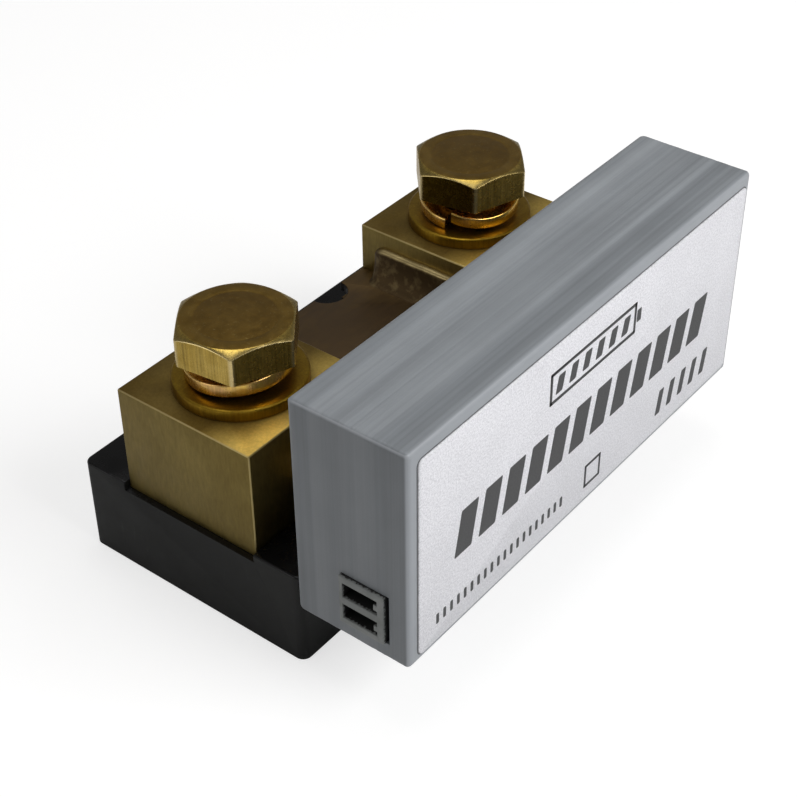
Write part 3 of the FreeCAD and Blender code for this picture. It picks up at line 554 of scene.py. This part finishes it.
def make_piece(name, vertices, faces, material, sharp):
    """A mesh object from millimetre points, smooth but for edges sharper than the angle."""
    mesh = bpy.data.meshes.new(name)
    mesh.from_pydata([[c * MM for c in point] for point in vertices], [], faces)
    piece = bpy.data.objects.new(name, mesh)
    bpy.context.scene.collection.objects.link(piece)
    dress(piece, material, sharp)
    return piece


def dress(piece, material, sharp=32.0):
    """Welds a piece's mesh, smooths all but its sharp edges and gives it the material."""
    mesh = piece.data
    work = bmesh.new()
    work.from_mesh(mesh)
    bmesh.ops.remove_doubles(work, verts=work.verts, dist=1e-6)
    bmesh.ops.recalc_face_normals(work, faces=work.faces)
    for face in work.faces:
        face.smooth = True
    for edge in work.edges:
        edge.smooth = edge.calc_face_angle(0.0) < math.radians(sharp)
    work.to_mesh(mesh)
    work.free()
    mesh.materials.clear()
    mesh.materials.append(material)


def loft(name, rings, material, sharp):
    """A closed skin over rings of equal length, with flat ends."""
    points = len(rings[0])
    vertices = [point for ring in rings for point in ring]
    faces = strip_faces(len(rings), points)
    faces.append(tuple(range(points)))
    faces.append(tuple(range(len(vertices) - points, len(vertices))))
    return make_piece(name, vertices, faces, material, sharp)


def from_cad(name, node, material, bevel, keep=None):
    """A copy of a CAD node's surface with its hard edges softened."""
    flat_enough = math.radians(0.4)
    hard_edge = math.radians(35)
    work = bmesh.new()
    work.from_mesh(frame["nodes"][node].data)
    bmesh.ops.remove_doubles(work, verts=work.verts, dist=2e-6)
    bmesh.ops.dissolve_limit(work, angle_limit=flat_enough, verts=work.verts, edges=work.edges)
    hard = [e for e in work.edges
            if e.calc_face_angle(0.0) > hard_edge and (keep is None or keep(e))]
    bmesh.ops.bevel(work, geom=hard, offset=bevel * MM, segments=2, affect="EDGES",
                    clamp_overlap=True, profile=0.5)
    mesh = bpy.data.meshes.new(name)
    work.to_mesh(mesh)
    work.free()
    piece = bpy.data.objects.new(name, mesh)
    bpy.context.scene.collection.objects.link(piece)
    dress(piece, material)
    return piece


def stand_for(piece, body, slot, *nodes):
    """Puts a piece in the place of CAD nodes, which it hides, and on their body."""
    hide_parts(*nodes)
    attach(piece, body)


def low_high(node):
    """A CAD node's box in millimetres."""
    low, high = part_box(node)
    return low / MM, high / MM


def axis_of(side):
    """The vertical line through a terminal bolt, as a point in metres."""
    low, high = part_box(side + "_flat_washer")
    return Vector(((low.x + high.x) / 2, 0, 0))


# ------------------------------------------------------------------ bolts and washers

# Millimetres: across the flats, the head's height, and the radii of its flat top and its corners.
HEAD_FLATS = 17.0
HEAD_TALL = 5.5
HEAD_TOP = 8.3
CORNER = HEAD_FLATS / math.sqrt(3)


def hexagon_angles(turn):
    """Angles round a hexagonal head, closer together at its corners."""
    steps = (-30, -29.3, -28.5, -27, -24, -19, -13, -6.5, 0, 6.5, 13, 19, 24, 27, 28.5, 29.3)
    return [(turn + 30 + 60 * flat + step, step) for flat in range(6) for step in steps]


def bolt_head(centre, seat, turn, ring):
    """Rings of a hexagon head, from its middle, over the chamfer and down to its seat.

    Its top has a shallow turned groove of radius ring."""
    top = seat + HEAD_TALL
    slope = math.tan(math.radians(30))
    rows = [(0.4, 0), (ring - 0.45, 0), (ring - 0.2, -0.035), (ring, -0.05), (ring + 0.2, -0.02),
            (ring + 0.4, 0), (HEAD_TOP - 0.12, 0), (HEAD_TOP, -0.03)]
    angles = hexagon_angles(turn)
    rings = []
    for radius, drop in rows:
        rings.append([polar(centre, radius, angle, top + drop) for angle, _ in angles])
    outlines = []
    for angle, step in angles:
        edge = min(HEAD_FLATS / 2 / math.cos(math.radians(step)), CORNER - 0.1)
        outlines.append((angle, edge, top - (edge - HEAD_TOP) * slope - 0.03))
    for inset, drop in ((0.16, -0.08), (0.05, 0.0), (0.0, 0.10)):
        rings.append([polar(centre, edge - inset, angle, height - drop)
                      for angle, edge, height in outlines])
    for share in (0.35, 0.7, 1.0):
        rings.append([polar(centre, edge, angle, height - 0.1 + (seat + 0.1 - height + 0.1) * share)
                      for angle, edge, height in outlines])
    rings.append([polar(centre, edge - 0.1, angle, seat) for angle, edge, _ in outlines])
    rings.append([polar(centre, 5.1, angle, seat) for angle, _, _ in outlines])
    return rings


def polar(centre, radius, angle, height):
    turned = math.radians(angle)
    return (centre.x / MM + radius * math.cos(turned), centre.y / MM + radius * math.sin(turned), height)


def thread_rings(centre, seat, tip):
    """Rings down a right-hand thread: its radius depends on height less the turn's share."""
    pitch = 1.5
    root = 4.12
    crest = 4.97
    plain = 4.5
    run_out = 1.5
    chamfer = 0.8
    steep = 2.6
    sunk = 0.75
    sides = 96
    rings = []
    height = seat
    rise = pitch / 10
    while height > tip + 1e-6:
        ring = []
        fade = min(1.0, (seat - height) / run_out)
        end = min(1.0, (height - tip) / chamfer)
        for i in range(sides):
            phase = (height / pitch - i / sides) % 1.0
            wave = min(1.0, max(0.0, steep * abs(phase - 0.5) * 2 - sunk))
            deep = root + (crest - root) * wave
            radius = plain + (deep - plain) * fade
            radius = min(radius, crest - chamfer * (1 - end))
            ring.append(polar(centre, radius, 360 * i / sides, height))
        rings.append(ring)
        height -= rise
    rings.append([polar(centre, root, 360 * i / sides, tip) for i in range(sides)])
    return rings


def make_bolt(side, turn, ring, flat_shade):
    node = side + "_terminal_bolt"
    low, high = low_high(node)
    centre = axis_of(side)
    seat = high.z - HEAD_TALL
    material = bolt_brass(side + "_bolt_brass", centre, ring, flat_shade)
    head = loft(side + "_bolt_head", bolt_head(centre, seat, turn, ring), material, 24.0)
    shank = loft(side + "_bolt_shank", thread_rings(centre, seat, low.z), material, 40.0)
    stand_for(head, side + "_bolt", "bolt_brass", node)
    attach(shank, side + "_bolt")


def make_flat_washer(side):
    """A punched washer: its top edges rounded over, its lower outer edge only just broken."""
    node = side + "_flat_washer"
    low, high = low_high(node)
    centre = axis_of(side)
    outer = (high.x - low.x) / 2
    inner = 5.3
    section = [(inner, low.z), (inner, high.z - 0.2), (inner + 0.08, high.z - 0.06), (inner + 0.25, high.z),
               (outer - 0.5, high.z), (outer - 0.24, high.z - 0.05), (outer - 0.07, high.z - 0.18),
               (outer, high.z - 0.42), (outer, low.z + 0.12), (outer - 0.1, low.z)]
    sides = 144
    vertices = []
    for radius, height in section:
        vertices += [polar(centre, radius, 360 * i / sides, height) for i in range(sides)]
    faces = strip_faces(len(section), sides)
    first = (len(section) - 1) * sides
    for i in range(sides):
        after = (i + 1) % sides
        faces.append((first + i, first + after, after, i))
    material = ring_metal(side + "_washer_brass", centre, (0.36, 0.222, 0.022), (0.25, 0.146, 0.014), 0.34)
    piece = make_piece(side + "_flat_washer_punched", vertices, faces, material, 30.0)
    stand_for(piece, side + "_washers", "washer_brass", node)


def make_lock_washer(side, split, rise, tilt, high_side):
    """A coiled spring washer: wire with rounded corners and square-cut ends.

    Its first end curls up by rise, and it leans by tilt degrees, highest at the angle high_side."""
    node = side + "_lock_washer"
    low, _ = low_high(node)
    centre = axis_of(side)
    inner, outer, wire, cut, curl = 5.5, 8.2, 2.1, 8.0, 8.0
    soft = 0.28
    section = []
    for corner_r, corner_z, start in ((outer - soft, wire - soft, 0), (inner + soft, wire - soft, 90),
                                      (inner + soft, soft, 180), (outer - soft, soft, 270)):
        for step in range(4):
            angle = math.radians(start + 30 * step)
            section.append((corner_r + soft * math.cos(angle), corner_z + soft * math.sin(angle)))
    steps = 160
    across = Vector((-math.sin(math.radians(high_side)), math.cos(math.radians(high_side)), 0))
    lean = Matrix.Rotation(math.radians(-tilt), 3, across)
    rings = []
    for step in range(steps + 1):
        share = step / steps
        angle = split + cut / 2 + (360.0 - cut) * share
        lift = rise * (1 - share) ** curl
        rings.append([lean @ Vector(polar(Vector(), radius, angle, height + lift))
                      for radius, height in section])
    lowest = min(point.z for ring in rings for point in ring)
    shift = Vector((centre.x / MM, 0, low.z - lowest + 0.01))
    rings = [[tuple(point + shift) for point in ring] for ring in rings]
    material = ring_metal(side + "_spring_bronze", centre, (0.84, 0.56, 0.120), (0.74, 0.45, 0.185), 0.24)
    piece = loft(side + "_lock_washer_coiled", rings, material, 40.0)
    stand_for(piece, side + "_washers", "spring_bronze", node)


# ------------------------------------------------------------------ blocks, plates, base

def make_blocks():
    for side in ("near", "far"):
        node = side + "_terminal_block"
        material = block_brass(side + "_block_brass", axis_of(side))
        piece = from_cad(side + "_block_sanded", node, material, 0.14)
        stand_for(piece, "shunt_body", "block_brass", node)


def make_plates():
    material = plate_metal()
    for position in ("bottom", "middle", "top"):
        node = position + "_resistor_plate"
        piece = from_cad(position + "_plate_rolled", node, material, 0.12)
        stand_for(piece, "shunt_body", "manganin", node)


def bead_ring(wall, way, y, reach, foot, top):
    """One section of a fillet: along the plate, up a concave flank and over a round crown."""
    rounding = 0.55
    flank_steps = 12
    crown_steps = 6
    crown = min(1.25, reach * 0.33)
    ring = [(wall, y, foot), (wall + way * reach, y, foot)]
    for step in range(1, flank_steps + 1):
        angle = math.radians(90 * step / flank_steps)
        x = crown + (reach - crown) * (1 - math.sin(angle))
        z = foot + (top - rounding - foot) * (1 - math.cos(angle))
        ring.append((wall + way * x, y, z))
    for step in range(1, crown_steps + 1):
        angle = math.radians(90 * step / crown_steps)
        x = crown * math.cos(angle)
        z = top - rounding + rounding * math.sin(angle)
        ring.append((wall + way * x, y, z))
    return ring


def make_braze():
    """The poured fillets: a wavering crown, a concave flank and a thin uneven toe."""
    material = braze_metal(low_high("near_braze_fillet")[1].z)
    for side, way in (("near", 1), ("far", -1)):
        node = side + "_braze_fillet"
        low, high = low_high(node)
        wall = low.x if way > 0 else high.x
        out = high.x - low.x
        tall = high.z - low.z
        stations = 60
        rings = []
        for station in range(stations + 1):
            share = station / stations
            y = low.y + (high.y - low.y) * share
            end = min(1.0, min(share, 1 - share) * stations / 5)
            swell = 0.5 + 0.5 * math.sqrt(end)
            ripple = 0.985 + 0.015 * math.sin(share * 21) * math.sin(share * 8.3)
            reach = out * swell * ripple
            top = low.z + tall * (0.8 + 0.2 * math.sqrt(end)) * (0.995 + 0.005 * math.sin(share * 17))
            rings.append(bead_ring(wall, way, y, reach, low.z, top))
        piece = loft(side + "_braze_bead", rings, material, 50.0)
        stand_for(piece, "shunt_body", "braze_metal", node)


def make_base():
    piece = from_cad("base_moulding", "base", base_plastic(), 0.12,
                     keep=lambda e: min(v.co.z for v in e.verts) > 0.003)
    stand_for(piece, "shunt_body", "moulded_black", "base")


# ------------------------------------------------------------------ case, label, header

def rounded_outline(low_x, high_x, low_z, high_z, radius, seam):
    """Points round a rounded rectangle in x and z, with three extra on its top: the seam, which is
    marked, and a neighbour on either side."""
    points = []
    for corner_x, corner_z, start in ((high_x - radius, low_z + radius, -90),
                                      (high_x - radius, high_z - radius, 0),
                                      (low_x + radius, high_z - radius, 90),
                                      (low_x + radius, low_z + radius, 180)):
        for step in range(9):
            angle = math.radians(start + 90 * step / 8)
            points.append((corner_x + radius * math.cos(angle), corner_z + radius * math.sin(angle), False))
        if start == 0:
            points += [(seam + 0.35, high_z, False), (seam, high_z, True), (seam - 0.35, high_z, False)]
    return points


def printed_layers(low_y, high_y, pitch):
    """How far each printed layer lies inside the case's outline, from slow and quick wanders."""
    count = round((high_y - low_y) / pitch)
    slow, quick = 0.0, 0.0
    insets = []
    for _ in range(count + 1):
        slow = 0.9 * slow + DICE.uniform(-0.010, 0.010)
        quick = DICE.uniform(-0.003, 0.003)
        insets.append(0.045 + slow + quick)
    floor = min(insets)
    return [inset - floor for inset in insets]


def case_rings(low, high, wall, seam):
    """From the front face, over its rounded edge, back along the layers, and in to the cavity."""
    back, front = high.y, low.y
    edge, back_edge, corner = 0.8, 1.2, 0.8
    pitch = 0.1
    layers = printed_layers(front, back, pitch)
    rings = []
    for layer, inset in enumerate(layers):
        y = front + pitch * layer
        if y > back - 1e-6:
            break
        depth = y - front
        fillet = 0.0
        if depth < edge:
            fillet = edge - math.sqrt(max(0.0, edge ** 2 - (edge - depth) ** 2))
        behind = back - y
        if behind < back_edge:
            fillet = back_edge - math.sqrt(max(0.0, back_edge ** 2 - (back_edge - behind) ** 2))
        rings.append(case_ring(low, high, y, inset * 0.8 + fillet, corner, seam, front))
    rings.append(case_ring(low, high, back, back_edge + 0.05, corner, seam, front))
    hollow_low, hollow_high = low + Vector((wall, 0, wall)), high - Vector((wall, 0, wall))
    for y in (back, front + wall):
        outline = rounded_outline(hollow_low.x, hollow_high.x, hollow_low.z, hollow_high.z, 0.3, seam)
        rings.append([(x, y, z) for x, z, _ in outline])
    return rings


def case_ring(low, high, y, inset, corner, seam, front):
    """One layer's outline, with the shallow seam down part of the case's top."""
    seam_deep, seam_from, seam_to = 0.035, 3.0, 12.3
    outline = rounded_outline(low.x + inset, high.x - inset, low.z + inset, high.z - inset,
                              max(0.25, corner - inset), seam)
    sunk = seam_deep if front + seam_from < y < front + seam_to else 0.0
    return [(x, y, z - (sunk if marked else 0.0)) for x, z, marked in outline]


def cutter(name, rings):
    """A solid to cut with, which cut_out removes again."""
    points = len(rings[0])
    vertices = [[c * MM for c in point] for ring in rings for point in ring]
    faces = strip_faces(len(rings), points)
    faces.append(tuple(range(points))[::-1])
    faces.append(tuple(range(len(vertices) - points, len(vertices))))
    mesh = bpy.data.meshes.new(name)
    mesh.from_pydata(vertices, [], faces)
    work = bmesh.new()
    work.from_mesh(mesh)
    bmesh.ops.recalc_face_normals(work, faces=work.faces)
    work.to_mesh(mesh)
    work.free()
    tool = bpy.data.objects.new(name, mesh)
    bpy.context.scene.collection.objects.link(tool)
    return tool


def cut_out(piece, tools):
    """Cuts the tools from the piece for good, and removes them."""
    for tool in tools:
        modifier = piece.modifiers.new("cut", "BOOLEAN")
        modifier.operation = "DIFFERENCE"
        modifier.solver = "EXACT"
        modifier.object = tool
    shape = piece.evaluated_get(bpy.context.evaluated_depsgraph_get())
    cut = bpy.data.meshes.new_from_object(shape)
    piece.modifiers.clear()
    piece.data = cut
    for tool in tools:
        bpy.data.objects.remove(tool)


def block_rings(low_x, high_x, low_y, high_y, low_z, high_z):
    return [[(x, low_y, low_z), (x, high_y, low_z), (x, high_y, high_z), (x, low_y, high_z)]
            for x in (low_x, high_x)]


def drill_rings(x, y, steps):
    """Rings of an upright round hole, from its radius at each height."""
    sides = 32
    return [[(x + radius * math.cos(math.tau * i / sides), y + radius * math.sin(math.tau * i / sides), z)
             for i in range(sides)] for radius, z in steps]


def header_gate(low):
    """The opening in the case's near end that the wire header stands in."""
    play = 0.1
    slack = 0.6
    header_low, header_high = low_high("wire_header_housing")
    return cutter("gate", block_rings(low.x - 1, low.x + 3, header_low.y - slack, header_high.y + play,
                                      header_low.z - play, header_high.z + play))


def screw_sinks(low):
    """The countersunk holes in the case's floor for its two screws."""
    head_radius, hole_radius, head_deep, hole_deep = 2.4, 1.35, 1.25, 2.5
    inset = 2.2
    screws_low, screws_high = low_high("case_screws")
    middle = (screws_low.y + screws_high.y) / 2
    steps = ((head_radius, low.z - 0.05), (hole_radius, low.z + head_deep), (hole_radius, low.z + hole_deep))
    return [cutter("sink", drill_rings(x, middle, steps))
            for x in (screws_low.x + inset, screws_high.x - inset)]


def ridge_grooves(high):
    """The grooves under the case's roof that take the cover's two ridges, with a gap all round."""
    ridge_x = 14
    half_long = 6.1
    groove_front, groove_back = -23.5, -22.5
    gap = 0.1
    ridge = low_high("case_back_cover")[1].z
    return [cutter("groove", block_rings(x - half_long, x + half_long, groove_front, groove_back,
                                         high.z - 3, ridge + gap))
            for x in (-ridge_x, ridge_x)]


def make_case():
    low, high = low_high("case_shell")
    wall = 2.0
    seam = 21.7
    piece = loft("case_shell_printed", case_rings(low, high, wall, seam),
                 printed_plastic("case_grey", (0.268, 0.286, 0.305), (0.212, 0.229, 0.247)), 40.0)
    tools = [header_gate(low)] + screw_sinks(low) + ridge_grooves(high)
    cut_out(piece, tools)
    dress(piece, piece.data.materials[0], 40.0)
    stand_for(piece, "shunt_body", "case_grey", "case_shell")


def slanted_bar(low_x, high_x, low_z, high_z, lean, corner=0.25):
    """A bar's outline with small rounded corners, its top pushed over by lean."""
    points = []
    for corner_x, corner_z, start in ((high_x - corner, low_z + corner, -90),
                                      (high_x - corner, high_z - corner, 0),
                                      (low_x + corner, high_z - corner, 90),
                                      (low_x + corner, low_z + corner, 180)):
        for step in range(4):
            angle = math.radians(start + 30 * step)
            x = corner_x + corner * math.cos(angle)
            z = corner_z + corner * math.sin(angle)
            points.append((x + lean * (z - low_z) / (high_z - low_z), z))
    return points


def bar_row(low_x, high_x, low_z, high_z, count, fill, lean):
    """Evenly spaced bars, each filling a share of its pitch."""
    pitch = (high_x - low_x) / count
    return [slanted_bar(low_x + pitch * i, low_x + pitch * (i + fill), low_z, high_z, lean)
            for i in range(count)]


def frame_outline(low_x, high_x, low_z, high_z, line):
    """The four sides of a thin frame, as bars."""
    return [slanted_bar(low_x, high_x, low_z, low_z + line, 0, line / 3),
            slanted_bar(low_x, high_x, high_z - line, high_z, 0, line / 3),
            slanted_bar(low_x, low_x + line, low_z, high_z, 0, line / 3),
            slanted_bar(high_x - line, high_x, low_z, high_z, 0, line / 3)]


def label_bars():
    """Plain generic marks, in millimetres across and up: nothing on the label is lettering."""
    gauge = bar_row(-33.0, 34.0, 25.6, 33.2, 12, 0.7, 1.6)
    battery = frame_outline(-11.0, 11.5, 38.0, 43.6, 0.6)
    battery.append(slanted_bar(11.7, 12.9, 39.7, 41.9, 0, 0.2))
    battery += bar_row(-9.6, 10.9, 39.3, 42.3, 6, 0.5, 0.7)
    strokes = bar_row(20.5, 37.5, 16.6, 21.2, 5, 0.42, 0.8)
    ticks = bar_row(-37.0, -5.0, 16.4, 18.3, 20, 0.4, 0)
    square = frame_outline(0.0, 4.4, 15.6, 20.0, 0.5)
    return gauge + battery + strokes + ticks + square


def slabs(outlines, back, front):
    """Vertices and faces of upright slabs between two depths."""
    vertices, faces = [], []
    for outline in outlines:
        start = len(vertices)
        vertices += [(x, back, z) for x, z in outline] + [(x, front, z) for x, z in outline]
        size = len(outline)
        faces.append(tuple(range(start, start + size)))
        faces.append(tuple(range(start + size, start + 2 * size)))
        for i in range(size):
            after = (i + 1) % size
            faces.append((start + i, start + after, start + size + after, start + size + i))
    return vertices, faces


def make_label():
    """The film, a dark rim round it that is painted shadow, and the marks printed on it."""
    low, high = low_high("front_label")
    skin = low.y + 0.02
    soft = 0.06
    outline = rounded_outline(low.x, high.x, low.z, high.z, 1.0, 0.0)
    rings = [[(x, high.y, z) for x, z, _ in outline], [(x, skin + soft, z) for x, z, _ in outline]]
    inner = rounded_outline(low.x + soft, high.x - soft, low.z + soft, high.z - soft, 0.95, 0.0)
    rings.append([(x, skin, z) for x, z, _ in inner])
    film = loft("label_film_sheet", rings, label_film(), 50.0)
    stand_for(film, "shunt_body", "label_film", "front_label")
    # Painted shadow: a dark sheet just larger than the film stands for the shadow round its edge.
    shadow_reach = 0.22
    edge = rounded_outline(low.x - shadow_reach, high.x + shadow_reach, low.z - shadow_reach, high.z + shadow_reach, 1.2, 0.0)
    shadow_rim = loft("label_shadow_rim", [[(x, y, z) for x, z, _ in edge] for y in (high.y + 0.05, high.y - 0.03)],
                plastic("label_rim_shade", (0.10, 0.105, 0.11), (0.14, 0.145, 0.15), 0.6).finish(), 50.0)
    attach(shadow_rim, "shunt_body")
    vertices, faces = slabs(label_bars(), low.y, skin)
    marks = make_piece("label_marks", vertices, faces, label_ink(), 50.0)
    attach(marks, "shunt_body")


def make_header():
    low, _ = low_high("wire_header_housing")
    piece = from_cad("wire_header_moulding", "wire_header_housing", header_plastic(low.x), 0.12,
                     keep=lambda e: max(v.co.x for v in e.verts) < -0.0430)
    stand_for(piece, "shunt_body", "header_grey", "wire_header_housing")


# ------------------------------------------------------------------ carried-over CAD pieces

def dress_cad_nodes():
    """Materials for the pieces whose CAD shape is already right."""
    finishes = {
        "zinc_steel": zinc(), "spacer_brass": spacer_brass(), "board_green": board_lacquer(),
        "cover_grey": printed_plastic("cover_grey", (0.33, 0.35, 0.37), (0.27, 0.29, 0.31)),
        "tinned_metal": tinned(), "chip_black": chip_black(), "core_grey": core_grey(),
        "can_metal": can_metal(), "ceramic_tan": ceramic_tan(),
    }
    for row in frame["record"]["subparts"]:
        node = frame["nodes"][row["node"]]
        material = finishes.get(row["material_slot"])
        if material is None or node.hide_render:
            continue
        node.data.materials.clear()
        node.data.materials.append(material)


add_camera()
add_studio()
make_base()
make_blocks()
make_plates()
make_braze()
make_flat_washer("near")
make_flat_washer("far")
make_lock_washer("near", 60.0, 0.1, 5.7, 292.0)
make_lock_washer("far", 191.0, 1.7, 8.0, 35.0)
# The last tuples give painted shade on each bolt's -X and -Y flats.
make_bolt("near", 37.3, 6.2, (0.0, 0.35))
make_bolt("far", 40.9, 6.4, (1.0, 0.0))
make_case()
make_label()
make_header()
dress_cad_nodes()
